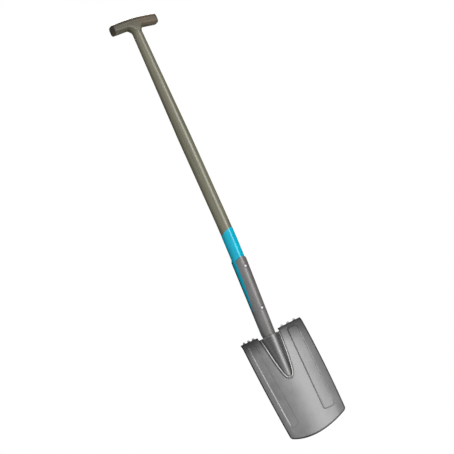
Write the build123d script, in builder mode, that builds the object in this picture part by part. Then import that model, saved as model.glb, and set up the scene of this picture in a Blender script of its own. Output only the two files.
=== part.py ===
import os
from math import acos, asin, atan2, cos, degrees, hypot, radians, sin, sqrt, tan

from build123d import *

os.makedirs("parts", exist_ok=True)

# A garden spade with a wooden cross handle. Millimetres and degrees.
# X runs across the blade, +Y is behind it, the concave front faces -Y and +Z is up along the upper shaft.
# The origin is on the shaft's axis, in the middle of its parallel stretch, where a tool clip grips it.
# Heights are measured up from the lowest point of the cutting edge.

# Overall
overall_length = 1169.0

# Shaft
shaft_d = 35.0
shaft_top_d = 27.0
taper_start_height = 832.0
crank_angle = 4.6
crank_above_socket = 53.0
bend_reach = 74.0
shaft_end_d = 32.0
shaft_end_gap = 4.0
tenon_d = 20.0
tenon_length = 34.0

# Paint on the lower end of the shaft
coat_thickness = 0.3
coat_above_socket = 69.5
coat_rise_front = 8.0
coat_rise_right = 3.0

# Cross handle
bar_length = 134.2
bar_height = 26.5
bar_depth = 28.0
bar_arch = 4.5
bar_round = 9.5
bar_end_round = 1.8
flare_radius = 11.0
neck_step = 0.2
collar_step = 0.15
collar_share = 0.85
pin_d = 4.0
pin_drop = 9.0
pin_reach = 7.0

# Socket
socket_wall = 2.0
socket_top_height = 491.0
tongue_radius = 21.0
slot_width = 22.2
slot_width_bottom = 3.4
slot_straight = 57.0
slot_length = 150.0
slot_bulge = 1.3
nose_length = 66.0
nose_round = 4.5

# Rivets
rivet_d = 5.0
rivet_head_d = 8.0
rivet_head_height = 2.4
upper_rivet_drop = 26.0
lower_rivet_rise = 68.0

# Blade
sheet = 2.0
blade_height = 282.0
blade_lean = 6.2
blade_half_top = 98.3
blade_half_middle = 98.4
blade_half_bottom = 92.8
blade_corner_drop = 263.5
blade_corner_round = 11.0
dish_radius = 240.0
sheet_behind_axis = 1.5

# Raised root of the blade: a ridge with sloping flanks inside a V-shaped bead
bead_half_widths = [
    (4, 31.6), (25, 29.2), (50, 25.8), (75, 22.2), (95, 18.4), (108, 15.4), (116.5, 12.4), (122.5, 8.7),
]
bead_tip_drop = 126.0
bead_radius = 2.2
bead_lift = 0.3
ridge_end_drop = 119.0
ridge_end_radius = 7.5
ridge_end_step = 2.2
flank_half_widths = [(-12.0, 31.6), (70.0, 18.9), (126.0, 7.2)]
flank_sink = 0.4
rim_drop = 8.0
weld_radius = 4.6
weld_share = 0.85

# Raised ribs
rib_height = 1.8
rib_side_run = 3.2
rib_top_run = 5.0
rib_top_drop = 9.5
rib_bottom_drop = 241.0
rib_inner_top = 53.0
rib_outer_top = 83.6
rib_inner_bottom = 40.8
rib_outer_bottom = 75.7
rib_corner_round = 8.0

# Treads, rolled back along the top of the sheet, with upright teeth
tread_inner = 34.0
tread_roll = 30.0
tread_angle = 27.0
tooth_base = 8.8
tooth_tip = 4.0
tooth_height = 4.4
tooth_root = 2.0
tooth_ahead = 0.4
tooth_positions = [47.5, 64.5, 82.0]

# Clearances
coat_gap = 0.15
socket_gap = 0.30
root_gap = 0.15
tenon_gap = 0.10
pin_gap = 0.05
rivet_gap = 0.10
head_gap = 0.02
weld_gap = 0.03
relief_slit = 0.4

# Heights that follow from the socket and the blade
crank_height = socket_top_height + crank_above_socket
coat_height = socket_top_height + coat_above_socket
upper_rivet_height = socket_top_height - upper_rivet_drop
lower_rivet_height = blade_height + lower_rivet_rise
slot_taper_height = socket_top_height - slot_straight
slot_bottom_height = socket_top_height - slot_length

# Levels along Z, with the origin in the middle of the parallel stretch
clip_height = (crank_height + bend_reach + taper_start_height) / 2
z_edge = -clip_height
z_top = z_edge + overall_length
z_taper = z_edge + taper_start_height
z_crank = z_edge + crank_height
z_bend = z_crank + bend_reach
z_blade = z_edge + blade_height
z_coat = z_edge + coat_height
shaft_r = shaft_d / 2
shaft_top_r = shaft_top_d / 2

# The lower axis leans back below the crank
lean = radians(crank_angle)
axis_up = (0, -sin(lean), cos(lean))
axis_back = (0, cos(lean), sin(lean))
axis_front = (0, -cos(lean), -sin(lean))
crank_point = (0, 0, z_crank)
lower_plane = Plane(origin=crank_point, x_dir=(1, 0, 0), z_dir=axis_up)
lower_front = Plane(origin=crank_point, x_dir=(1, 0, 0), z_dir=axis_front)
lower_side = Plane(origin=crank_point, x_dir=axis_back, z_dir=(1, 0, 0))
lower_axis = Axis(crank_point, axis_up)
bend_radius = bend_reach / tan(lean / 2)
bend_axis = Axis((0, bend_radius, z_bend), (1, 0, 0))


def along(height):
    """Place on the lower axis, from the crank, of a height above the cutting edge."""
    return (height - crank_height) / cos(lean)


a_bend_end = -bend_reach
a_blade = along(blade_height)
a_shaft_end = a_blade + shaft_end_gap
a_socket_top = along(socket_top_height)
shaft_slope = (shaft_r - shaft_end_d / 2) / (a_bend_end - a_shaft_end)


def shaft_radius(a):
    """Radius of the shaft's lower cone."""
    return shaft_r + shaft_slope * (a - a_bend_end)


def socket_inner(a):
    """Inner radius of the socket, which fits over the painted shaft."""
    return shaft_radius(a) + coat_gap + coat_thickness + socket_gap


def socket_outer(a):
    """Outer radius of the socket."""
    return socket_inner(a) + socket_wall


# Blade frame: origin at the middle of its top edge on the front face, z up along the blade, y back
tilt = radians(blade_lean)
blade_up = (0, sin(tilt), cos(tilt))
blade_front = (0, -cos(tilt), sin(tilt))
y_axis_at_blade = (z_crank - z_blade) * tan(lean)
blade_origin = (0, y_axis_at_blade + sheet_behind_axis, z_blade)
blade_plane = Plane(origin=blade_origin, x_dir=(1, 0, 0), z_dir=blade_up)
blade_face = Plane(origin=blade_origin, x_dir=(1, 0, 0), z_dir=blade_front)
blade_length = blade_height / cos(tilt)

# The root's ridge goes on from the socket's front line and runs out in the bead's tip
root_r = socket_outer(a_blade) + root_gap + sheet
root_slope = (root_r - ridge_end_radius) / ridge_end_drop
total_lean = lean + tilt
ridge_start = root_r + sheet_behind_axis
ridge_fall = (ridge_start - ridge_end_step) / ridge_end_drop - tan(total_lean)


def ridge_section(drop, inset):
    """Radius and centre of the root's round section, some way below the blade's top."""
    radius = root_r - root_slope * drop
    centre = radius - root_r + ridge_fall * drop
    return radius - inset, centre


# Cross handle levels
neck_r = shaft_top_r + neck_step
bar_half = bar_length / 2
z_under = z_top - bar_height
droop = bar_arch / bar_half
flare_centre_x = neck_r + flare_radius
z_neck = z_under - droop * flare_centre_x - flare_radius * hypot(1, droop)
flare_x = flare_centre_x + flare_radius * droop / hypot(1, droop)
flare_z = z_neck + flare_radius / hypot(1, droop)
flare_mid_x = flare_centre_x - flare_radius * cos(radians(45))
flare_mid_z = z_neck + flare_radius * sin(radians(45))
collar_r = neck_r + collar_step
collar_flare = collar_share * flare_radius
z_tenon = z_neck + tenon_length
z_pin = z_tenon - pin_drop

# Shaft: tenon, taper, parallel stretch, bend and the cone that goes into the socket
with BuildPart() as shaft:
    with BuildSketch(Plane.XZ) as upper_profile:
        with BuildLine():
            Polyline(
                (0, z_bend),
                (shaft_r, z_bend),
                (shaft_r, z_taper),
                (shaft_top_r, z_neck),
                (tenon_d / 2, z_neck),
                (tenon_d / 2, z_tenon),
                (0, z_tenon),
                close=True,
            )
        make_face()
    revolve(axis=Axis.Z)
    with BuildSketch(Plane.XY.offset(z_bend)) as bend_section:
        Circle(shaft_r)
    revolve(axis=bend_axis, revolution_arc=crank_angle)
    with BuildSketch(lower_front) as lower_profile:
        with BuildLine():
            Polyline(
                (0, a_bend_end),
                (shaft_r, a_bend_end),
                (shaft_radius(a_shaft_end), a_shaft_end),
                (0, a_shaft_end),
                close=True,
            )
        make_face()
    revolve(axis=lower_axis)
    with BuildSketch(lower_front) as rivet_holes:
        with Locations((0, along(upper_rivet_height)), (0, along(lower_rivet_height))):
            Circle(rivet_d / 2 + rivet_gap)
    extrude(amount=2 * shaft_r, both=True, mode=Mode.SUBTRACT)
    with BuildSketch(Plane.XZ) as pin_hole:
        with Locations((0, z_pin)):
            Circle(pin_d / 2 + pin_gap)
    extrude(amount=-bar_depth, mode=Mode.SUBTRACT)
    with BuildSketch(Plane.XZ) as pin_hole_end:
        with Locations((0, z_pin)):
            Circle(pin_d / 2 + pin_gap)
    extrude(amount=pin_reach + pin_gap, mode=Mode.SUBTRACT)
shaft.part.label = "shaft"
export_step(shaft.part, "parts/shaft.step")

# Paint film on the bend and the lower cone, cut off along a slanted edge
coat_inner = coat_gap
coat_outer = coat_gap + coat_thickness
coat_edge_plane = Plane(
    origin=(0, (z_bend - z_coat) ** 2 / (2 * bend_radius), z_coat),
    z_dir=(-coat_rise_right / shaft_r, coat_rise_front / shaft_r, 1),
)
with BuildPart() as dip_coat:
    with BuildSketch(Plane.XY.offset(z_bend)) as coat_ring:
        Circle(shaft_r + coat_outer)
        Circle(shaft_r + coat_inner, mode=Mode.SUBTRACT)
    revolve(axis=bend_axis, revolution_arc=crank_angle)
    with BuildSketch(lower_front) as coat_profile:
        with BuildLine():
            Polyline(
                (shaft_r + coat_inner, a_bend_end),
                (shaft_r + coat_outer, a_bend_end),
                (shaft_radius(a_shaft_end) + coat_outer, a_shaft_end),
                (shaft_radius(a_shaft_end) + coat_inner, a_shaft_end),
                close=True,
            )
        make_face()
    revolve(axis=lower_axis)
    split(bisect_by=coat_edge_plane, keep=Keep.BOTTOM)
    with BuildSketch(lower_front) as coat_holes:
        with Locations((0, along(upper_rivet_height)), (0, along(lower_rivet_height))):
            Circle(rivet_d / 2 + rivet_gap)
    extrude(amount=2 * shaft_r, both=True, mode=Mode.SUBTRACT)
dip_coat.part.label = "dip_coat"
export_step(dip_coat.part, "parts/dip_coat.step")

# Cross handle: a plank profile with rounded edges and a round neck
with BuildPart() as t_handle:
    with BuildSketch(Plane.XZ) as bar_outline:
        with BuildLine():
            ThreePointArc((-bar_half, z_top - bar_arch), (0, z_top), (bar_half, z_top - bar_arch))
            Line((bar_half, z_top - bar_arch), (bar_half, z_under - bar_arch))
            Line((bar_half, z_under - bar_arch), (flare_x, flare_z))
            ThreePointArc((flare_x, flare_z), (flare_mid_x, flare_mid_z), (neck_r, z_neck))
            Line((neck_r, z_neck), (-neck_r, z_neck))
            ThreePointArc((-neck_r, z_neck), (-flare_mid_x, flare_mid_z), (-flare_x, flare_z))
            Line((-flare_x, flare_z), (-bar_half, z_under - bar_arch))
            Line((-bar_half, z_under - bar_arch), (-bar_half, z_top - bar_arch))
        make_face()
    extrude(amount=bar_depth / 2, both=True)
    rims = t_handle.faces().filter_by(Axis.Y).edges()
    long_rims = rims.filter_by(Axis.Z, reverse=True).filter_by(Axis.X, reverse=True)
    fillet(long_rims, bar_round)
    ends = t_handle.faces().filter_by(Axis.X)
    fillet(ends.edges(), bar_end_round)
    with BuildSketch(Plane.XZ) as neck_envelope:
        with BuildLine():
            Polyline(
                (collar_r + collar_flare, z_neck + collar_flare),
                (bar_length, z_neck + collar_flare),
                (bar_length, z_top + bar_height),
                (0, z_top + bar_height),
                (0, z_neck - 1.0),
                (collar_r, z_neck - 1.0),
                (collar_r, z_neck),
            )
            ThreePointArc(
                (collar_r, z_neck),
                (collar_r + collar_flare * (1 - cos(radians(45))), z_neck + collar_flare * sin(radians(45))),
                (collar_r + collar_flare, z_neck + collar_flare),
            )
        make_face()
    revolve(axis=Axis.Z, mode=Mode.INTERSECT)
    with BuildSketch(Plane.XY.offset(z_neck)) as tenon_bore:
        Circle(tenon_d / 2 + tenon_gap)
    extrude(amount=tenon_length + 1.0, mode=Mode.SUBTRACT)
    with BuildSketch(Plane.XZ) as handle_pin_hole:
        with Locations((0, z_pin)):
            Circle(pin_d / 2 + pin_gap)
    extrude(amount=-bar_depth, mode=Mode.SUBTRACT)
t_handle.part.label = "t_handle"
export_step(t_handle.part, "parts/t_handle.step")

# Pin that locks the tenon, driven from behind and set a little below the surface
pin_set = 0.4
with BuildPart() as handle_pin:
    with BuildSketch(Plane.XZ.offset(pin_reach)) as pin_section:
        with Locations((0, z_pin)):
            Circle(pin_d / 2)
    extrude(amount=-(pin_reach + bar_depth / 2 - pin_set))
handle_pin.part.label = "handle_pin"
export_step(handle_pin.part, "parts/handle_pin.step")

# Socket: a conical tube with two straps and a nose that follows the blade's root
nose_r = ridge_section(0, sheet + root_gap)[0]
nose_end = ridge_section(nose_length, sheet + root_gap)
hollow_end = ridge_section(nose_length - socket_wall, sheet + root_gap + socket_wall)
a_tube_top = a_socket_top + socket_wall
with BuildPart() as socket:
    with BuildSketch(lower_front) as tube_profile:
        with BuildLine():
            Polyline(
                (0, a_tube_top),
                (socket_outer(a_tube_top), a_tube_top),
                (socket_outer(a_blade), a_blade),
                (0, a_blade),
                close=True,
            )
        make_face()
    revolve(axis=lower_axis)
    with BuildSketch(lower_plane.offset(a_blade)) as nose_top:
        Circle(nose_r)
    with BuildSketch(lower_plane.offset(a_blade - nose_length)) as nose_bottom:
        with Locations((0, nose_end[1])):
            Circle(nose_end[0])
    loft()
    nose_rim = socket.edges().filter_by(GeomType.CIRCLE).sort_by(Axis.Z)[0]
    fillet(nose_rim, nose_round)
    with BuildSketch(lower_front) as bore_profile:
        with BuildLine():
            Polyline(
                (0, a_tube_top),
                (socket_inner(a_tube_top), a_tube_top),
                (socket_inner(a_blade), a_blade),
                (0, a_blade),
                close=True,
            )
        make_face()
    revolve(axis=lower_axis, mode=Mode.SUBTRACT)
    with BuildSketch(lower_plane.offset(a_blade)) as hollow_top:
        Circle(nose_r - socket_wall)
    with BuildSketch(lower_plane.offset(a_blade - nose_length + socket_wall)) as hollow_bottom:
        with Locations((0, hollow_end[1])):
            Circle(hollow_end[0])
    loft(mode=Mode.SUBTRACT)
    with BuildSketch(lower_side) as side_slots:
        slot_top = a_tube_top + socket_wall
        slot_turn = along(slot_taper_height)
        slot_end = along(slot_bottom_height)
        slot_mid = (slot_turn + slot_end) / 2
        mid_half = (slot_width + slot_width_bottom) / 4 + slot_bulge
        with BuildLine():
            Line((-slot_width / 2, slot_turn), (-slot_width / 2, slot_top))
            Line((-slot_width / 2, slot_top), (slot_width / 2, slot_top))
            Line((slot_width / 2, slot_top), (slot_width / 2, slot_turn))
            ThreePointArc((slot_width / 2, slot_turn), (mid_half, slot_mid), (slot_width_bottom / 2, slot_end))
            Line((slot_width_bottom / 2, slot_end), (-slot_width_bottom / 2, slot_end))
            ThreePointArc((-slot_width_bottom / 2, slot_end), (-mid_half, slot_mid), (-slot_width / 2, slot_turn))
        make_face()
        with Locations((0, slot_end)):
            Circle(slot_width_bottom / 2)
    extrude(amount=2 * shaft_d, both=True, mode=Mode.SUBTRACT)
    with BuildSketch(lower_front) as tongue_waste:
        with Locations((0, a_tube_top - tongue_radius / 2)):
            Rectangle(2 * shaft_d, tongue_radius + 2 * socket_wall)
        with Locations((0, a_socket_top - tongue_radius)):
            Circle(tongue_radius, mode=Mode.SUBTRACT)
    extrude(amount=2 * shaft_d, both=True, mode=Mode.SUBTRACT)
    with BuildSketch(lower_front) as strap_holes:
        with Locations((0, along(upper_rivet_height)), (0, along(lower_rivet_height))):
            Circle(rivet_d / 2 + rivet_gap)
    extrude(amount=2 * shaft_d, both=True, mode=Mode.SUBTRACT)
socket.part.label = "socket"
export_step(socket.part, "parts/socket.step")


def rivet_levels(height):
    """Place on the lower axis and the socket's outer radius at a rivet."""
    a = along(height)
    return a, socket_outer(a)


# Rivets: a shank through both straps and the shaft, with a round head at each end
upper_a, upper_r = rivet_levels(upper_rivet_height)
upper_plane = lower_plane.offset(upper_a)
dome_r = (rivet_head_d**2 / 4 + rivet_head_height**2) / (2 * rivet_head_height)
with BuildPart() as upper_rivet:
    with BuildSketch(upper_plane) as upper_heads:
        with BuildLine():
            Polyline(
                (0, -upper_r - rivet_head_height),
                (0, upper_r + rivet_head_height),
            )
            RadiusArc((0, upper_r + rivet_head_height), (rivet_head_d / 2, upper_r), dome_r)
            Line((rivet_head_d / 2, upper_r), (rivet_head_d / 2, -upper_r))
            RadiusArc((rivet_head_d / 2, -upper_r), (0, -upper_r - rivet_head_height), dome_r)
        make_face()
    revolve(axis=Axis(upper_plane.origin, axis_back))
    with BuildSketch(lower_front) as upper_core:
        with BuildLine():
            Polyline(
                (0, upper_a + rivet_head_d),
                (socket_outer(upper_a + rivet_head_d) + head_gap, upper_a + rivet_head_d),
                (socket_outer(upper_a - rivet_head_d) + head_gap, upper_a - rivet_head_d),
                (0, upper_a - rivet_head_d),
                close=True,
            )
        make_face()
    revolve(axis=lower_axis, mode=Mode.SUBTRACT)
    with BuildSketch(lower_front.offset(-upper_r - 1.0)) as upper_shank:
        with Locations((0, upper_a)):
            Circle(rivet_d / 2)
    extrude(amount=2 * upper_r + 2.0)
upper_rivet.part.label = "upper_rivet"
export_step(upper_rivet.part, "parts/upper_rivet.step")

lower_a, lower_r = rivet_levels(lower_rivet_height)
rivet_plane = lower_plane.offset(lower_a)
with BuildPart() as lower_rivet:
    with BuildSketch(rivet_plane) as lower_heads:
        with BuildLine():
            Polyline(
                (0, -lower_r - rivet_head_height),
                (0, lower_r + rivet_head_height),
            )
            RadiusArc((0, lower_r + rivet_head_height), (rivet_head_d / 2, lower_r), dome_r)
            Line((rivet_head_d / 2, lower_r), (rivet_head_d / 2, -lower_r))
            RadiusArc((rivet_head_d / 2, -lower_r), (0, -lower_r - rivet_head_height), dome_r)
        make_face()
    revolve(axis=Axis(rivet_plane.origin, axis_back))
    with BuildSketch(lower_front) as lower_core:
        with BuildLine():
            Polyline(
                (0, lower_a + rivet_head_d),
                (socket_outer(lower_a + rivet_head_d) + head_gap, lower_a + rivet_head_d),
                (socket_outer(lower_a - rivet_head_d) + head_gap, lower_a - rivet_head_d),
                (0, lower_a - rivet_head_d),
                close=True,
            )
        make_face()
    revolve(axis=lower_axis, mode=Mode.SUBTRACT)
    with BuildSketch(lower_front.offset(-lower_r - 1.0)) as lower_shank:
        with Locations((0, lower_a)):
            Circle(rivet_d / 2)
    extrude(amount=2 * lower_r + 2.0)
lower_rivet.part.label = "lower_rivet"
export_step(lower_rivet.part, "parts/lower_rivet.step")


blade_back = Vector(0, cos(tilt), -sin(tilt))
sheet_back_r = dish_radius + sheet
dish_centre = Vector(*blade_origin) - blade_back * dish_radius
dish_axis = Axis(dish_centre, blade_up)


def radial(x):
    """Direction from the dish's axis to the sheet at x."""
    turn = asin(x / dish_radius)
    return Vector(sin(turn), 0, 0) + blade_back * cos(turn)


def on_sheet(x, drop, lift):
    """Point at x on the front of the dished sheet, some way below the top, lifted to the front."""
    return dish_centre + radial(x) * (dish_radius - lift) - Vector(*blade_up) * drop


def front_plane(x, lift):
    """Plane on the front of the sheet at x, facing forward, with its y axis up along the blade."""
    out = radial(x) * -1
    return Plane(origin=on_sheet(x, 0, lift), x_dir=Vector(*blade_up).cross(out), z_dir=out)


# One rib with sloping sides as a raised pad on the front, and the hollow that the press leaves behind it
rib_middle = (rib_inner_top + rib_outer_top + rib_inner_bottom + rib_outer_bottom) / 4
rib_slope = rib_height / rib_side_run
rib_stretch = cos(asin(rib_middle / dish_radius))
rib_root = sheet / 2
rib_over = rib_height / 4


def rib_corners(level):
    """Corners of the rib's outline at a level above the sheet's front."""
    inset = level / rib_slope
    top_inset = level * rib_top_run / rib_height
    return [
        ((rib_inner_top - rib_middle) / rib_stretch + inset, -rib_top_drop - top_inset),
        ((rib_outer_top - rib_middle) / rib_stretch - inset, -rib_top_drop - top_inset),
        ((rib_outer_bottom - rib_middle) / rib_stretch - inset, -rib_bottom_drop + inset),
        ((rib_inner_bottom - rib_middle) / rib_stretch + inset, -rib_bottom_drop + inset),
    ]


with BuildPart() as rib_pad:
    for level in (-rib_root, rib_height + rib_over):
        with BuildSketch(front_plane(rib_middle, level)) as rib_shape:
            with BuildLine():
                Polyline(*rib_corners(level), close=True)
            make_face()
            fillet(rib_shape.vertices(), rib_corner_round - level / rib_slope)
    loft(ruled=True)
with BuildPart() as rib_hollow:
    add(rib_pad.part.moved(Location(radial(rib_middle) * sheet)))
    with BuildSketch(blade_plane) as hollow_room:
        with Locations((0, -dish_radius)):
            Circle(sheet_back_r + 2 * sheet)
            Circle(sheet_back_r - rib_height, mode=Mode.SUBTRACT)
    extrude(amount=-2 * blade_length, mode=Mode.INTERSECT)
with BuildPart() as rib_front:
    add(rib_pad.part)
    with BuildSketch(blade_plane) as pad_room:
        with Locations((0, -dish_radius)):
            Circle(dish_radius + rib_root)
            Circle(dish_radius - rib_height, mode=Mode.SUBTRACT)
    extrude(amount=-2 * blade_length, mode=Mode.INTERSECT)

# Raised root: a round ridge that tapers from the socket to the tip, with flat flanks
ridge_over = 12.0


def sheet_level(drop):
    """Place of the sheet's front, behind the lower axis."""
    return sheet_behind_axis - drop * tan(total_lean)


def flank_points(drop, half, inset, depth):
    """Section through both flanks, which touch the ridge's round, down to a depth behind the front."""
    full_radius, centre = ridge_section(drop, 0)
    across = hypot(half, sheet_level(drop) - centre)
    turn = atan2(sheet_level(drop) - centre, half) - acos(full_radius / across)
    reach = full_radius - flank_sink - inset
    base = sheet_level(drop) + depth
    top_x, top_y = reach * cos(turn), centre + reach * sin(turn)
    base_x = (reach - sin(turn) * (base - centre)) / cos(turn)
    return [(-base_x, base), (-top_x, top_y), (top_x, top_y), (base_x, base)]


def flank_loft(inset, depth, mode):
    """Solid between both flanks, all along the root."""
    sections = []
    for drop, half in flank_half_widths:
        with BuildSketch(lower_plane.offset(a_blade - drop)) as flank_section:
            with BuildLine():
                Polyline(*flank_points(drop, half, inset, depth), close=True)
            make_face()
        sections.append(flank_section.sketch.faces()[0])
    loft(sections, ruled=True, mode=mode)


def ridge_loft(inset, mode):
    """Round cone along the ridge."""
    sections = []
    for drop in (-ridge_over, bead_tip_drop):
        radius, centre = ridge_section(drop, inset)
        with BuildSketch(lower_plane.offset(a_blade - drop)) as ridge_round:
            with Locations((0, centre)):
                Circle(radius)
        sections.append(ridge_round.sketch.faces()[0])
    loft(sections, mode=mode)


with BuildPart() as root:
    ridge_loft(0, Mode.ADD)
    flank_loft(0, sheet, Mode.ADD)
    with BuildSketch(blade_plane.offset(2 * ridge_over)) as front_room:
        with Locations((0, -dish_radius)):
            Circle(dish_radius + sheet / 2)
    extrude(amount=-2 * blade_length, mode=Mode.INTERSECT)

# Bead round the root
right_bead = [on_sheet(half, drop, bead_lift) for drop, half in bead_half_widths]
left_bead = [on_sheet(-half, drop, bead_lift) for drop, half in reversed(bead_half_widths)]
with BuildPart() as bead:
    with BuildLine() as bead_path:
        Spline(*right_bead, on_sheet(0, bead_tip_drop, bead_lift), *left_bead)
    with BuildSketch(Plane(origin=bead_path.wires()[0] @ 0, z_dir=bead_path.wires()[0] % 0)) as bead_section:
        Circle(bead_radius)
    sweep()

# Middle of the sheet's top, which stays straight between the treads
tread_rise = tread_roll * sin(radians(tread_angle))
tread_back = tread_roll * (1 - cos(radians(tread_angle)))
with BuildPart() as middle_strip:
    with BuildSketch(blade_plane) as strip_ring:
        with Locations((0, -dish_radius)):
            Circle(sheet_back_r)
            Circle(dish_radius, mode=Mode.SUBTRACT)
    extrude(amount=-tread_rise - sheet)
    with BuildSketch(blade_plane) as strip_room:
        Rectangle(2 * tread_inner, 2 * tread_inner)
    extrude(amount=-tread_rise - sheet, mode=Mode.INTERSECT)

# Blade
widest = blade_half_top + 3.0
side_turn = asin(widest / dish_radius)
start_out = radial(widest)
reach_ahead = widest
blade_ahead = blade_face.offset(reach_ahead)
with BuildPart() as blade:
    # dished sheet that rolls back into the treads at its top
    section_plane = Plane(dish_centre + start_out * dish_radius, start_out, start_out.cross(Vector(*blade_up)))
    with BuildSketch(section_plane) as sheet_section:
        with BuildLine():
            inner_roll = tread_roll - sheet
            roll_turn = radians(tread_angle)
            Line((0, -blade_length - 2.0), (0, -tread_rise))
            ThreePointArc(
                (0, -tread_rise),
                (tread_roll * (1 - cos(roll_turn / 2)), -tread_rise + tread_roll * sin(roll_turn / 2)),
                (tread_back, 0),
            )
            lip = (tread_roll - inner_roll * cos(roll_turn), -tread_rise + inner_roll * sin(roll_turn))
            Line((tread_back, 0), lip)
            ThreePointArc(
                lip,
                (tread_roll - inner_roll * cos(roll_turn / 2), -tread_rise + inner_roll * sin(roll_turn / 2)),
                (sheet, -tread_rise),
            )
            Line((sheet, -tread_rise), (sheet, -blade_length - 2.0))
            Line((sheet, -blade_length - 2.0), (0, -blade_length - 2.0))
        make_face()
    revolve(axis=dish_axis, revolution_arc=2 * degrees(side_turn))
    # outline, with rounded lower corners
    with BuildSketch(blade_ahead) as outline:
        with BuildLine():
            Line((-blade_half_top, tread_rise), (blade_half_top, tread_rise))
            Spline(
                (blade_half_top, tread_rise),
                (blade_half_middle, -blade_corner_drop / 2),
                (blade_half_bottom, -blade_corner_drop),
            )
            ThreePointArc(
                (blade_half_bottom, -blade_corner_drop),
                (0, -blade_length),
                (-blade_half_bottom, -blade_corner_drop),
            )
            Spline(
                (-blade_half_bottom, -blade_corner_drop),
                (-blade_half_middle, -blade_corner_drop / 2),
                (-blade_half_top, tread_rise),
            )
        make_face()
        fillet(outline.vertices().group_by(Axis.Y)[0], blade_corner_round)
    extrude(amount=-2 * reach_ahead, mode=Mode.INTERSECT)
    # relief cuts beside the treads, and the straight middle between them
    with BuildSketch(blade_ahead) as roll_gap:
        Rectangle(2 * tread_inner + 2 * relief_slit, 2 * tread_rise)
    extrude(amount=-2 * reach_ahead, mode=Mode.SUBTRACT)
    add(middle_strip.part)
    add(rib_front.part)
    add(rib_hollow.part, mode=Mode.SUBTRACT)
    add(rib_front.part.mirror(Plane.YZ))
    add(rib_hollow.part.mirror(Plane.YZ), mode=Mode.SUBTRACT)
    # raised root with its bead and its hollow
    add(root.part)
    add(bead.part)
    ridge_loft(sheet, Mode.SUBTRACT)
    flank_loft(sheet, 4 * sheet, Mode.SUBTRACT)
    # rim of the root, below the treads
    with BuildSketch(blade_ahead) as rim_cut:
        with Locations((0, tread_rise)):
            Rectangle(2 * tread_inner + relief_slit, 2 * (tread_rise + rim_drop))
    extrude(amount=-2 * reach_ahead, mode=Mode.SUBTRACT)
    # teeth on the treads
    for position in tooth_positions:
        for side in (-1, 1):
            out = radial(side * position)
            spot = on_sheet(side * position, 0, tooth_ahead - tread_back)
            with BuildSketch(Plane(origin=spot, x_dir=Vector(*blade_up).cross(out), z_dir=out)) as tooth:
                with BuildLine():
                    Polyline(
                        (-tooth_base / 2, -tooth_root),
                        (-tooth_base / 2, 0),
                        (-tooth_tip / 2, tooth_height),
                        (tooth_tip / 2, tooth_height),
                        (tooth_base / 2, 0),
                        (tooth_base / 2, -tooth_root),
                        close=True,
                    )
                make_face()
            extrude(amount=sheet)
blade.part.label = "blade"
export_step(blade.part, "parts/blade.step")

# Weld beads behind the blade, one in each groove beside the socket's nose
weld_start = tread_rise + 2.0
weld_end = weld_share * nose_length


def groove_point(drop):
    """Point on the right side, midway between the nose and the flank, level with the back of the sheet."""
    radius, centre = ridge_section(drop, sheet + root_gap)
    back_at = sheet_level(drop) + sheet
    nose_half = sqrt(radius**2 - (back_at - centre) ** 2)
    first, second = flank_half_widths[0], flank_half_widths[1]
    share = (drop - first[0]) / (second[0] - first[0])
    half = first[1] + (second[1] - first[1]) * share
    flank_half = flank_points(drop, half, sheet, sheet)[3][0]
    return lower_plane.from_local_coords(Vector((nose_half + flank_half) / 2, back_at, a_blade - drop))


groove_top = groove_point(weld_start)
groove_bottom = groove_point(weld_end)
groove_run = groove_bottom - groove_top
with BuildPart() as weld_room:
    with BuildSketch(blade_plane.offset(2 * ridge_over)) as room_behind:
        with Locations((0, -dish_radius)):
            Circle(sheet_back_r + 4 * weld_radius)
            Circle(sheet_back_r + weld_gap, mode=Mode.SUBTRACT)
    extrude(amount=-2 * blade_length)
    flank_loft(sheet + weld_gap, 4 * sheet, Mode.ADD)
with BuildPart() as socket_welds:
    with BuildSketch(Plane(origin=groove_top, z_dir=groove_run)) as weld_section:
        Circle(weld_radius)
    extrude(amount=groove_run.length)
    add(weld_room.part, mode=Mode.INTERSECT)
    ridge_loft(sheet + root_gap - weld_gap, Mode.SUBTRACT)
    mirror(about=Plane.YZ)
socket_welds.part.label = "socket_welds"
export_step(socket_welds.part, "parts/socket_welds.step")
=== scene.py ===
import math

import bpy
from mathutils import Matrix, Vector

# A garden spade before a white backdrop. Metres, in the CAD model's frame: X runs across the blade, the
# concave front faces -Y and +Z is up along the upper shaft.
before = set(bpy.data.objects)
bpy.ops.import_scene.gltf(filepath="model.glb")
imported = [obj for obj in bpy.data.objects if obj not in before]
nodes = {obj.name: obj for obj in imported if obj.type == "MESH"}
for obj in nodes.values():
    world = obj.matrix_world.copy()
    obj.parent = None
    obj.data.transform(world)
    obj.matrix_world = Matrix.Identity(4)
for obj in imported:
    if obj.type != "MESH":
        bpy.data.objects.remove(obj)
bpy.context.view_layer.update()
scene = bpy.context.scene

# Camera: turn about the upright, height and roll in degrees, shifts in the picture plane and distance in
# metres, focal length in pixels
CAM_TURN = 31.8532
CAM_HEIGHT = -2.6323
CAM_ROLL = -24.2873
CAM_RIGHT = 0.0668441
CAM_UP = -0.1356645
CAM_DISTANCE = 3.0539767
CAM_FOCAL_PX = 1184.3
CAM_REACH = 50.0
PICTURE_PX = 454
SENSOR_MM = 36.0

# Light: what the lamps look at, the room's tint and its levels away from and on the bright wall, the cosines
# from the wall's direction between which it fades in, and half the angle of the white backdrop in mirrors
LAMP_AIM = Vector((0, 0, -0.1))
ROOM_TINT = (0.96, 0.98, 1.0)
ROOM_DIM = 0.03
ROOM_BRIGHT = 0.66
WALL_TURN, WALL_HEIGHT = -54, 12
WALL_FADE = (0.0, 0.85)
BACKDROP_HALF_ANGLE = 11.0

# Floor: a round sheet below the picture, and the share of its look that glows in its own pale colour
FLOOR_RADIUS = 2.0
FLOOR_LEVEL = -1.45
FLOOR_SIDES = 96
FLOOR_PALE = 0.65

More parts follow.
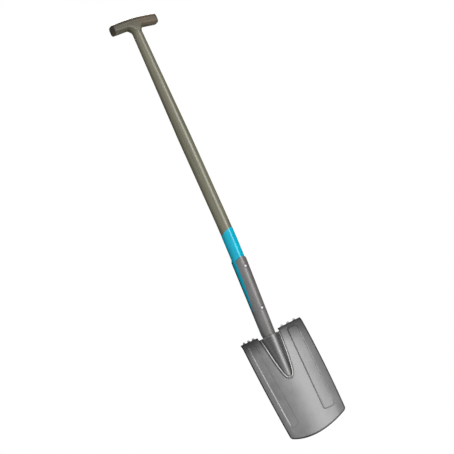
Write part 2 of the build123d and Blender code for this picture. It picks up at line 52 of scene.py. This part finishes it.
# Below, a pair of numbers is where a mark starts and ends its soft change.

# Wood: the cross handle's dark ends, stain soaked into the end grain with painted shade where they round off,
# the levels where its neck turns from the shaft's tone to the bar's, its warmer right half along X, how far
# down a face looks to count as underside, which gets painted shade, and how far along the fibres to count as
# an end with rings
RIGHT_END = (0.0590, 0.0658)
LEFT_END = (-0.0664, -0.0642)
NECK = (0.405, 0.424)
WARM_HALF = (-0.005, 0.030)
UNDERSIDE = (0.35, 0.95)
END_FACE = (0.90, 0.99)

# The blade leans: its own upright, and a point level with its top edge
BLADE_LEAN = math.radians(6.2)
BLADE_UP = Vector((0.0, math.sin(BLADE_LEAN), math.cos(BLADE_LEAN)))
BLADE_TOP = Vector((0.0, 0.02258, -0.443))
# The V-shaped bead: drops below the top edge, each with the half width there, and the limits of both
BEAD = [
    (0.0, 0.0322), (0.004, 0.0316), (0.025, 0.0292), (0.050, 0.0258), (0.075, 0.0222), (0.095, 0.0184),
    (0.108, 0.0154), (0.1165, 0.0124), (0.1225, 0.0087), (0.126, 0.0),
]
BEAD_LIMITS = (0.130, 0.040)
# The cutting edge: its drop in the middle and at the corners, and the corners' distance from the middle
EDGE_DROP = 0.282
CORNER_DROP = 0.2635
CORNER_SIDE = 0.0928
# The blade's sides, given like the bead
SIDES = [(0.0, 0.0983), (0.130, 0.0984), (0.200, 0.0964), (CORNER_DROP, CORNER_SIDE), (0.300, 0.0900)]
SIDES_LIMITS = (0.300, 0.120)
# The ribs' proud outer line: its distance from the middle at the top edge, and how that changes with the drop
RIB_LINE = 0.0821
RIB_LINE_SLOPE = -0.0341

# Painted shade and highlights by their distance from the bead's line, inwards for the first
BEAD_INSIDE = (-0.003, 0.0)
CREST_WIDTH = (0.0013, 0.0027)
GROOVE_WIDTH = (0.0038, 0.0056)
# Painted highlights and shade by their drop
TOOTH_FOOT = (-0.0012, -0.0002)
DARK_BAND = (-0.002, 0.054)
RIGHT_BAND_DROP = (0.0, 0.085)
RIM_DROP = (0.0095, 0.0125)
RIB_LINE_TOP = (0.020, 0.045)
RIB_LINE_BOTTOM = (0.225, 0.238)
ROOT_END = (0.1262, 0.1275)
# Painted highlights and shade by their distance from the blade's middle, from the ribs' line and from the
# blade's edges
RIDGE_WIDTH = (0.001, 0.0065)
FLANK = (0.003, 0.011)
RIGHT_BAND_SIDE = (0.030, 0.060)
RIB_LINE_WIDTH = (0.0006, 0.0022)
SIDE_STRIP = (0.004, 0.022)
RIGHT_STRIP = (0.014, 0.027)
CUT_EDGE = (0.0014, 0.0034)
EDGE_REACH = 0.0085
# How squarely a face looks forward to count as front
FRONT_FACE = (0.05, 0.35)

# The rivets lie across the lower shaft, which leans, and each has a ring of painted shade round it
RIVETS = ("upper_rivet", "lower_rivet")
SHAFT_CRANK = math.radians(4.6)
RIVET_AXIS = (0.0, math.cos(SHAFT_CRANK), math.sin(SHAFT_CRANK))
RIVET_RING = (0.0046, 0.0062)


def direction(turn, height):
    """Unit vector from the spade, turned from its front (-Y) towards +X, at a height above the horizon."""
    t, h = math.radians(turn), math.radians(height)
    return Vector((math.sin(t) * math.cos(h), -math.cos(t) * math.cos(h), math.sin(h)))


def srgb(r, g, b):
    """Linear colour of an 8-bit screen colour."""
    def one(v):
        v = v / 255
        return v / 12.92 if v <= 0.04045 else ((v + 0.055) / 1.055) ** 2.4
    return (one(r), one(g), one(b))


class Net:
    """Short way to wire the nodes of a material or a world."""

    def __init__(self, owner, output):
        owner.use_nodes = True
        self.owner = owner
        self.tree = owner.node_tree
        self.tree.nodes.clear()
        self.out = self.node(output)

    def node(self, kind, **settings):
        n = self.tree.nodes.new(kind)
        for key, value in settings.items():
            setattr(n, key, value)
        return n

    def link(self, a, b):
        self.tree.links.new(a, b)

    def feed(self, socket, value):
        if isinstance(value, bpy.types.NodeSocket):
            self.link(value, socket)
        else:
            socket.default_value = value

    def place(self, scale=(1, 1, 1), shift=(0, 0, 0)):
        """Coordinates of the part, in metres times scale."""
        coord = self.node("ShaderNodeTexCoord")
        mapping = self.node("ShaderNodeMapping")
        self.link(coord.outputs["Object"], mapping.inputs["Vector"])
        mapping.inputs["Scale"].default_value = scale
        mapping.inputs["Location"].default_value = shift
        return mapping.outputs["Vector"]

    def noise(self, where, scale, detail=3.0, rough=0.55, distortion=0.0):
        n = self.node("ShaderNodeTexNoise")
        self.link(where, n.inputs["Vector"])
        n.inputs["Scale"].default_value = scale
        n.inputs["Detail"].default_value = detail
        n.inputs["Roughness"].default_value = rough
        n.inputs["Distortion"].default_value = distortion
        return n.outputs["Fac"]

    def ramp(self, fac, stops, colours):
        n = self.node("ShaderNodeValToRGB")
        elements = n.color_ramp.elements
        while len(elements) < len(stops):
            elements.new(0.5)
        for element, stop, colour in zip(elements, stops, colours):
            element.position = stop
            element.color = (*colour, 1)
        self.link(fac, n.inputs["Fac"])
        return n.outputs["Color"]

    def spread(self, fac, low_in, high_in, low, high):
        n = self.node("ShaderNodeMapRange")
        self.feed(n.inputs["Value"], fac)
        for key, value in (("From Min", low_in), ("From Max", high_in), ("To Min", low), ("To Max", high)):
            n.inputs[key].default_value = value
        return n.outputs["Result"]

    def soft(self, fac, low_in, high_in, low, high):
        """Like spread, with an S-shaped change."""
        out = self.spread(fac, low_in, high_in, low, high)
        out.node.interpolation_type = "SMOOTHSTEP"
        return out

    def rise(self, fac, change, full=1.0):
        """0 before the change, full after it."""
        return self.soft(fac, *change, 0.0, full)

    def fade(self, fac, change, full=1.0):
        """Full before the change, 0 after it."""
        return self.soft(fac, *change, full, 0.0)

    def math(self, op, a, b=0.0):
        n = self.node("ShaderNodeMath", operation=op)
        self.feed(n.inputs[0], a)
        if op != "ABSOLUTE":
            self.feed(n.inputs[1], b)
        return n.outputs["Value"]

    def times(self, product, *factors):
        for factor in factors:
            product = self.math("MULTIPLY", product, factor)
        return product

    def axis(self, source, vector, shift=0.0):
        """Part of a coordinate or normal along a vector, plus a number."""
        coord = self.node("ShaderNodeTexCoord")
        n = self.node("ShaderNodeVectorMath", operation="DOT_PRODUCT")
        self.link(coord.outputs[source], n.inputs[0])
        n.inputs[1].default_value = vector
        return self.math("ADD", n.outputs["Value"], shift)

    def curve(self, value, points, limits):
        """Smooth curve through points, whose two numbers stay between 0 and the limits."""
        n = self.node("ShaderNodeFloatCurve")
        dots = n.mapping.curves[0].points
        while len(dots) < len(points):
            dots.new(0.5, 0.5)
        for dot, (x, y) in zip(dots, points):
            dot.location = (x / limits[0], y / limits[1])
        n.mapping.update()
        self.feed(n.inputs["Value"], self.math("DIVIDE", value, limits[0]))
        return self.times(n.outputs["Value"], limits[1])

    def edge(self, reach):
        """0 on open faces, rising towards sharp edges."""
        n = self.node("ShaderNodeBevel", samples=6)
        n.inputs["Radius"].default_value = reach
        face = self.node("ShaderNodeNewGeometry")
        dot = self.node("ShaderNodeVectorMath", operation="DOT_PRODUCT")
        self.link(n.outputs["Normal"], dot.inputs[0])
        self.link(face.outputs["Normal"], dot.inputs[1])
        return self.fade(dot.outputs["Value"], (0.72, 0.90))

    def crevice(self, reach):
        """1 on open faces, falling to 0 in grooves and corners."""
        n = self.node("ShaderNodeAmbientOcclusion", samples=8)
        n.inputs["Distance"].default_value = reach
        return n.outputs["AO"]

    def mix(self, fac, a, b):
        n = self.node("ShaderNodeMix", data_type="RGBA")
        n.clamp_factor = True
        self.feed(n.inputs[0], fac)
        self.feed(n.inputs[6], a if isinstance(a, bpy.types.NodeSocket) else (*a, 1))
        self.feed(n.inputs[7], b if isinstance(b, bpy.types.NodeSocket) else (*b, 1))
        return n.outputs[2]

    def paint(self, colour, layers):
        """Lays each mask's colour over the ones before it."""
        for mask, tone in layers:
            colour = self.mix(mask, colour, tone)
        return colour

    def bump(self, height, strength, distance):
        n = self.node("ShaderNodeBump")
        n.inputs["Strength"].default_value = strength
        n.inputs["Distance"].default_value = distance
        self.link(height, n.inputs["Height"])
        return n.outputs["Normal"]

    def surface(self, **inputs):
        """Principled shader on the output."""
        shader = self.node("ShaderNodeBsdfPrincipled")
        for key, value in inputs.items():
            colour = isinstance(value, tuple)
            self.feed(shader.inputs[key.replace("_", " ")], (*value, 1) if colour else value)
        self.link(shader.outputs["BSDF"], self.out.inputs["Surface"])
        return shader.outputs["BSDF"]

    def blend(self, fac, a, b):
        """Two shaders on the output."""
        n = self.node("ShaderNodeMixShader")
        for socket, source in zip(n.inputs, (fac, a, b)):
            self.link(source, socket)
        self.link(n.outputs["Shader"], self.out.inputs["Surface"])


def material_net(name):
    return Net(bpy.data.materials.new(name), "ShaderNodeOutputMaterial")


# Fibre colours of the wood, dark to pale, and where they lie in its pattern
FIBRE_STOPS = (0.25, 0.45, 0.62, 0.80)
SHAFT_TONES = (srgb(86, 84, 66), srgb(113, 111, 89), srgb(127, 124, 102), srgb(146, 142, 120))
HANDLE_TONES = (srgb(38, 37, 29), srgb(78, 77, 62), srgb(98, 96, 80), srgb(134, 131, 112))
BROWN_STAIN = srgb(128, 104, 86)


def stained_wood(name, grain, seed, along, tones, gloss, marks=None):
    """Grey-brown stained hardwood under a thin satin lacquer. grain: scale of the pattern along each axis.
    along: the axis of the fibres, whose end faces show rings. gloss: strength of the lacquer's mirror."""
    net = material_net(name)
    fibre = net.noise(net.place(grain, seed), 1.0, detail=6.0, rough=0.65, distortion=0.4)
    broad_grain = tuple(g * 0.28 for g in grain)
    broad = net.noise(net.place(broad_grain, seed), 1.0, detail=3.0, rough=0.5, distortion=0.8)
    fine_grain = tuple(g * 3.5 for g in grain)
    pores = net.noise(net.place(fine_grain, seed), 1.0, detail=2.0, rough=0.6)
    rings = net.node("ShaderNodeTexWave", wave_type="RINGS", rings_direction=along)
    net.link(net.place(shift=(0.004, 0.021, 0.013)), rings.inputs["Vector"])
    rings.inputs["Scale"].default_value = 160.0
    rings.inputs["Distortion"].default_value = 2.0
    rings.inputs["Detail"].default_value = 2.0
    end_grain = net.mix(rings.outputs["Fac"], srgb(66, 62, 52), srgb(92, 87, 74))
    along_fibres = net.axis("Normal", [float(along == a) for a in "XYZ"])
    end_face = net.rise(net.math("ABSOLUTE", along_fibres), END_FACE)
    stain = tuple((t + b) / 2 for t, b in zip(tones[1], BROWN_STAIN))
    colour = net.paint(net.ramp(fibre, FIBRE_STOPS, tones), [
        (net.spread(broad, 0.48, 0.72, 0.0, 0.5), stain),
        (net.spread(pores, 0.60, 0.72, 0.0, 0.45), srgb(66, 62, 51)),
        (end_face, end_grain),
    ])
    if marks:
        colour = marks(net, colour, fibre, broad, end_face)
    # Painted shade: the wood darker in grooves and corners.
    colour = net.mix(net.fade(net.crevice(0.006), (0.25, 0.85), 0.7), colour, srgb(52, 48, 39))
    height = net.math("ADD", net.times(fibre, 0.6), net.times(pores, -0.4))
    net.surface(
        Base_Color=colour,
        Roughness=net.spread(fibre, 0.3, 0.8, 0.37, 0.29),
        Normal=net.bump(height, 0.18, 0.0005),
        Specular_IOR_Level=gloss,
    )
    return net.owner


def handle_marks(net, colour, fibre, broad, end_face):
    """The neck in the shaft's tone, painted shade on the underside, the dark ends, and the warmer right half
    of the handle.
    """
    across = net.axis("Object", (1, 0, 0))
    neck = net.fade(net.axis("Object", (0, 0, 1)), NECK)
    # Painted shade on faces that look down.
    under = net.rise(net.axis("Normal", (0, 0, -1)), UNDERSIDE, 0.6)
    # Dark bands at the ends: stain soaked into the end grain, and painted shade where the ends round off.
    ends = net.math("MAXIMUM", net.rise(across, RIGHT_END, 0.92), net.fade(across, LEFT_END, 0.92))
    return net.paint(colour, [
        (neck, net.ramp(fibre, FIBRE_STOPS, SHAFT_TONES)),
        (net.times(under, net.math("SUBTRACT", 1.0, neck)), srgb(34, 32, 26)),
        (net.math("SUBTRACT", ends, end_face), srgb(30, 28, 24)),
        (net.times(net.rise(across, WARM_HALF), net.rise(broad, (0.38, 0.6)), 0.36), srgb(108, 82, 56)),
    ])


def dip_paint(name):
    """Glossy cyan dip coat, a little thicker and thinner from place to place."""
    net = material_net(name)
    cloud = net.noise(net.place(scale=(1, 1, 0.35)), 60.0, detail=3.0, rough=0.5)
    orange_peel = net.noise(net.place(), 900.0, detail=1.0, rough=0.4)
    colour = net.mix(net.spread(cloud, 0.35, 0.68, 0.0, 1.0), srgb(0, 174, 203), srgb(0, 188, 216))
    # Painted shade: the coat darker in grooves and corners.
    colour = net.mix(net.fade(net.crevice(0.008), (0.2, 0.85), 0.75), colour, srgb(0, 84, 104))
    net.surface(
        Base_Color=colour,
        Roughness=net.spread(cloud, 0.3, 0.7, 0.21, 0.27),
        Normal=net.bump(orange_peel, 0.05, 0.0003),
        Specular_IOR_Level=0.62,
        Specular_Tint=(0.65, 0.97, 1.0),
    )
    return net.owner


def coated_steel(name, seed, low, high, metal, groove_shade, marks):
    """Satin grey coat on pressed steel, with painted shade in grooves and corners, as dark as the argument
    after metal sets. marks: adds what belongs to one piece.
    """
    net = material_net(name)
    where = net.place(shift=seed)
    cloud = net.noise(where, 22.0, detail=4.0, rough=0.55)
    speck = net.noise(where, 1400.0, detail=2.0, rough=0.6)
    colour = net.paint(net.mix(net.spread(cloud, 0.35, 0.7, 0.0, 1.0), low, high), [
        (net.spread(speck, 0.5, 0.75, 0.0, 0.16), srgb(172, 173, 172)),
        # Painted shade: darker in grooves and corners.
        (net.fade(net.crevice(0.005), (0.3, 0.9), groove_shade), srgb(46, 46, 45)),
    ])
    net.surface(
        Base_Color=marks(net, colour),
        Metallic=metal,
        Roughness=net.spread(cloud, 0.3, 0.7, 0.40, 0.46),
        Normal=net.bump(speck, 0.04, 0.0002),
    )
    return net.owner


def blade_marks(net, colour):
    """Painted shade and painted highlights on the blade, by drop below its top edge and distance from its
    middle.
    """
    # Noise that breaks up the painted highlights on the bead and along the ribs' outer line.
    breakup = net.noise(net.place((1.0, 1.0, 0.12)), 420.0, detail=3.0, rough=0.6)
    drop = net.axis("Object", -BLADE_UP, BLADE_UP.dot(BLADE_TOP))
    across = net.axis("Object", (1, 0, 0))
    side = net.math("ABSOLUTE", across)
    front = net.rise(net.axis("Normal", (0, -1, 0)), FRONT_FACE)

    past_bead = net.math("SUBTRACT", side, net.curve(drop, BEAD, BEAD_LIMITS))
    off_bead = net.math("ABSOLUTE", past_bead)
    root = net.fade(drop, ROOT_END)
    inside = net.times(net.fade(past_bead, BEAD_INSIDE), root)
    # Painted shade on the sloping sides inside the V.
    flank_shade = net.times(inside, net.soft(side, *FLANK, 0.1, 0.75))
    # Painted shade in the grooves beside the bead.
    groove = net.times(net.fade(off_bead, GROOVE_WIDTH), root, 0.7)
    # Painted highlight along the top of the bead, broken up by noise.
    crest_highlight = net.times(net.fade(off_bead, CREST_WIDTH), root, front, net.spread(breakup, 0.3, 0.6, 0.85, 1.0))
    # Painted highlight along the upper edge of the V.
    rim_highlight = net.times(inside, net.fade(drop, RIM_DROP, 0.55))
    # Painted highlight down the middle of the V.
    ridge_highlight = net.times(inside, front, net.fade(side, RIDGE_WIDTH, 0.42))

    # Painted shade in a band along the top edge, weaker inside the V, and more of it at the top of the right
    # side.
    band = net.times(net.fade(drop, DARK_BAND, 0.95), net.spread(inside, 0.0, 1.0, 1.0, 0.25))
    right_top_shade = net.times(net.rise(across, RIGHT_BAND_SIDE), net.fade(drop, RIGHT_BAND_DROP, 0.45))
    # Painted highlight on the teeth above the top edge.
    tooth_highlight = net.fade(drop, TOOTH_FOOT, 0.75)

    # Painted highlight along the ribs' outer line, broken up by noise.
    rib_line = net.math("ADD", net.times(drop, RIB_LINE_SLOPE), RIB_LINE)
    off_rib_line = net.math("ABSOLUTE", net.math("SUBTRACT", side, rib_line))
    between_ends = net.times(net.rise(drop, RIB_LINE_TOP), net.fade(drop, RIB_LINE_BOTTOM))
    rib_line_highlight = net.times(net.fade(off_rib_line, RIB_LINE_WIDTH), between_ends, front)
    rib_line_highlight = net.times(rib_line_highlight, net.spread(breakup, 0.3, 0.6, 0.40, 0.75))

    half_width = net.curve(drop, SIDES, SIDES_LIMITS)
    to_side = net.math("SUBTRACT", half_width, side)
    to_right = net.math("SUBTRACT", half_width, across)
    corner_share = net.math("POWER", net.math("DIVIDE", side, CORNER_SIDE), 2.0)
    edge_drop = net.math("ADD", net.times(corner_share, CORNER_DROP - EDGE_DROP), EDGE_DROP)
    to_bottom = net.math("SUBTRACT", edge_drop, drop)
    # Painted shade along the blade's sides and cutting edge and at other sharp edges.
    edge_shade = net.fade(net.math("MINIMUM", to_side, to_bottom), CUT_EDGE)
    edge_shade = net.times(net.math("MAXIMUM", edge_shade, net.edge(EDGE_REACH)), 0.92)

    return net.paint(colour, [
        (flank_shade, srgb(74, 74, 73)),
        (groove, srgb(44, 44, 43)),
        (crest_highlight, srgb(216, 216, 213)),
        (band, srgb(54, 54, 53)),
        (right_top_shade, srgb(54, 54, 53)),
        (rim_highlight, srgb(186, 186, 183)),
        (ridge_highlight, srgb(196, 196, 193)),
        # Painted shade along both sides, and more along the right side.
        (net.fade(to_side, SIDE_STRIP, 0.22), srgb(70, 70, 69)),
        (net.fade(to_right, RIGHT_STRIP, 0.30), srgb(70, 70, 69)),
        (rib_line_highlight, srgb(206, 206, 203)),
        (edge_shade, srgb(30, 30, 29)),
        (tooth_highlight, srgb(180, 180, 177)),
    ])


def socket_marks(net, colour):
    """A ring of painted shade round each rivet."""
    for name in RIVETS:
        rivet = nodes[name]
        corners = [rivet.matrix_world @ Vector(corner) for corner in rivet.bound_box]
        from_rivet = net.node("ShaderNodeVectorMath", operation="SUBTRACT")
        net.link(net.node("ShaderNodeTexCoord").outputs["Object"], from_rivet.inputs[0])
        from_rivet.inputs[1].default_value = sum(corners, Vector()) / len(corners)
        off_axis = net.node("ShaderNodeVectorMath", operation="CROSS_PRODUCT")
        net.link(from_rivet.outputs["Vector"], off_axis.inputs[0])
        off_axis.inputs[1].default_value = RIVET_AXIS
        length = net.node("ShaderNodeVectorMath", operation="LENGTH")
        net.link(off_axis.outputs["Vector"], length.inputs[0])
        colour = net.mix(net.fade(length.outputs["Value"], RIVET_RING, 0.85), colour, srgb(34, 34, 33))
    return colour


def bright_steel(name):
    """Zinc-plated rivet steel with fine turning marks, near white all over: the plating's own brightness and
    a painted highlight.
    """
    net = material_net(name)
    fine = net.noise(net.place(), 700.0, detail=2.0, rough=0.6)
    net.surface(
        Base_Color=net.mix(net.spread(fine, 0.35, 0.7, 0.0, 1.0), srgb(226, 226, 224), srgb(246, 246, 244)),
        Metallic=0.35,
        Roughness=net.spread(fine, 0.3, 0.7, 0.26, 0.38),
        Normal=net.bump(fine, 0.06, 0.0002),
    )
    return net.owner


# Finishes, by node
shaft_wood = stained_wood("shaft_wood", (260, 260, 7), (0.3, 1.7, 0.2), "Z", SHAFT_TONES, gloss=0.85)
handle_wood = stained_wood("handle_wood", (9, 260, 260), (2.1, 0.4, 1.3), "X", HANDLE_TONES,
                           gloss=0.42, marks=handle_marks)
blade_steel = coated_steel("blade_steel", (0, 0, 0), srgb(136, 135, 135), srgb(148, 147, 147),
                           metal=0.28, groove_shade=0.3, marks=blade_marks)
socket_steel = coated_steel("socket_steel", (0.7, 0.2, 0.4), srgb(121, 119, 118), srgb(131, 129, 128),
                            metal=0.42, groove_shade=0.8, marks=socket_marks)
rivet_steel = bright_steel("zinc_plate_and_sheen")
finish = {
    "shaft": shaft_wood,
    "t_handle": handle_wood,
    "dip_coat": dip_paint("blue_dip_coat"),
    "socket": socket_steel,
    "blade": blade_steel,
    "socket_welds": socket_steel,
    "upper_rivet": rivet_steel,
    "lower_rivet": rivet_steel,
    "handle_pin": rivet_steel,
}
for name, material in finish.items():
    for slot in nodes[name].material_slots:
        slot.link = "OBJECT"
        slot.material = material

# Camera
back = direction(-CAM_TURN, CAM_HEIGHT)
level_right = Vector((math.cos(math.radians(CAM_TURN)), -math.sin(math.radians(CAM_TURN)), 0))
level_up = level_right.cross(-back)
roll = math.radians(CAM_ROLL)
right = level_right * math.cos(roll) + level_up * math.sin(roll)
up = level_up * math.cos(roll) - level_right * math.sin(roll)
place = back * CAM_DISTANCE + right * CAM_RIGHT + up * CAM_UP
lens = bpy.data.cameras.new("camera")
lens.sensor_width = SENSOR_MM
lens.lens = CAM_FOCAL_PX / PICTURE_PX * SENSOR_MM
lens.clip_end = CAM_REACH
camera = bpy.data.objects.new("camera", lens)
camera.matrix_world = Matrix((
    (right.x, up.x, back.x, place.x),
    (right.y, up.y, back.y, place.y),
    (right.z, up.z, back.z, place.z),
    (0, 0, 0, 1),
))
scene.collection.objects.link(camera)
scene.camera = camera


def lamp(name, turn, height, distance, wide, tall, watts):
    """Area lamp that looks at the spade."""
    light = bpy.data.lights.new(name, "AREA")
    light.shape = "RECTANGLE"
    light.size, light.size_y = wide, tall
    light.energy = watts
    obj = bpy.data.objects.new(name, light)
    obj.location = LAMP_AIM + direction(turn, height) * distance
    obj.rotation_euler = (LAMP_AIM - obj.location).to_track_quat("-Z", "Y").to_euler()
    scene.collection.objects.link(obj)


lamp("key_lamp", turn=17, height=5, distance=3.0, wide=1.2, tall=2.8, watts=66)
lamp("back_lamp", turn=150, height=42, distance=3.2, wide=2.2, tall=2.2, watts=105)

# The floor is pale for the camera and for what mirrors it, and keeps the spade's shadow.
mesh = bpy.data.meshes.new("floor")
angles = [2 * math.pi * i / FLOOR_SIDES for i in range(FLOOR_SIDES)]
outline = [(FLOOR_RADIUS * math.cos(a), FLOOR_RADIUS * math.sin(a), FLOOR_LEVEL) for a in angles]
mesh.from_pydata(outline, [], [list(range(FLOOR_SIDES))])
floor = bpy.data.objects.new("floor", mesh)
scene.collection.objects.link(floor)
net = material_net("pale_floor")
floor_colour = net.mix(net.noise(net.place(), 3.0, detail=2.0), srgb(226, 226, 224), srgb(236, 236, 234))
lit = net.surface(Base_Color=floor_colour, Roughness=0.8)
pale = net.node("ShaderNodeEmission")
net.link(floor_colour, pale.inputs["Color"])
ray = net.node("ShaderNodeLightPath").outputs
mirrored = net.math("MAXIMUM", ray["Is Glossy Ray"], ray["Is Transmission Ray"])
seen = net.math("MAXIMUM", ray["Is Camera Ray"], mirrored)
net.blend(net.times(seen, FLOOR_PALE), lit, pale.outputs["Emission"])
mesh.materials.append(net.owner)

# The room is dim, with a soft bright wall on the left. The backdrop behind the spade is white, for the camera
# and for what mirrors it.
studio = Net(bpy.data.worlds.new("studio"), "ShaderNodeOutputWorld")
scene.world = studio.owner
room = studio.node("ShaderNodeBackground")
room.inputs["Color"].default_value = (*ROOM_TINT, 1)
towards_wall = studio.axis("Generated", direction(WALL_TURN, WALL_HEIGHT))
studio.link(studio.soft(towards_wall, *WALL_FADE, ROOM_DIM, ROOM_BRIGHT), room.inputs["Strength"])
white = studio.node("ShaderNodeBackground")
white.inputs["Color"].default_value = (1, 1, 1, 1)
white.inputs["Strength"].default_value = 1.0
backdrop_edge = math.cos(math.radians(BACKDROP_HALF_ANGLE))
behind = studio.math("GREATER_THAN", studio.axis("Generated", -back), backdrop_edge)
ray = studio.node("ShaderNodeLightPath").outputs
mirrored = studio.math("MAXIMUM", ray["Is Glossy Ray"], ray["Is Transmission Ray"])
shown = studio.math("MAXIMUM", ray["Is Camera Ray"], studio.times(mirrored, behind))
studio.blend(shown, room.outputs["Background"], white.outputs["Background"])

scene.view_settings.view_transform = "Standard"
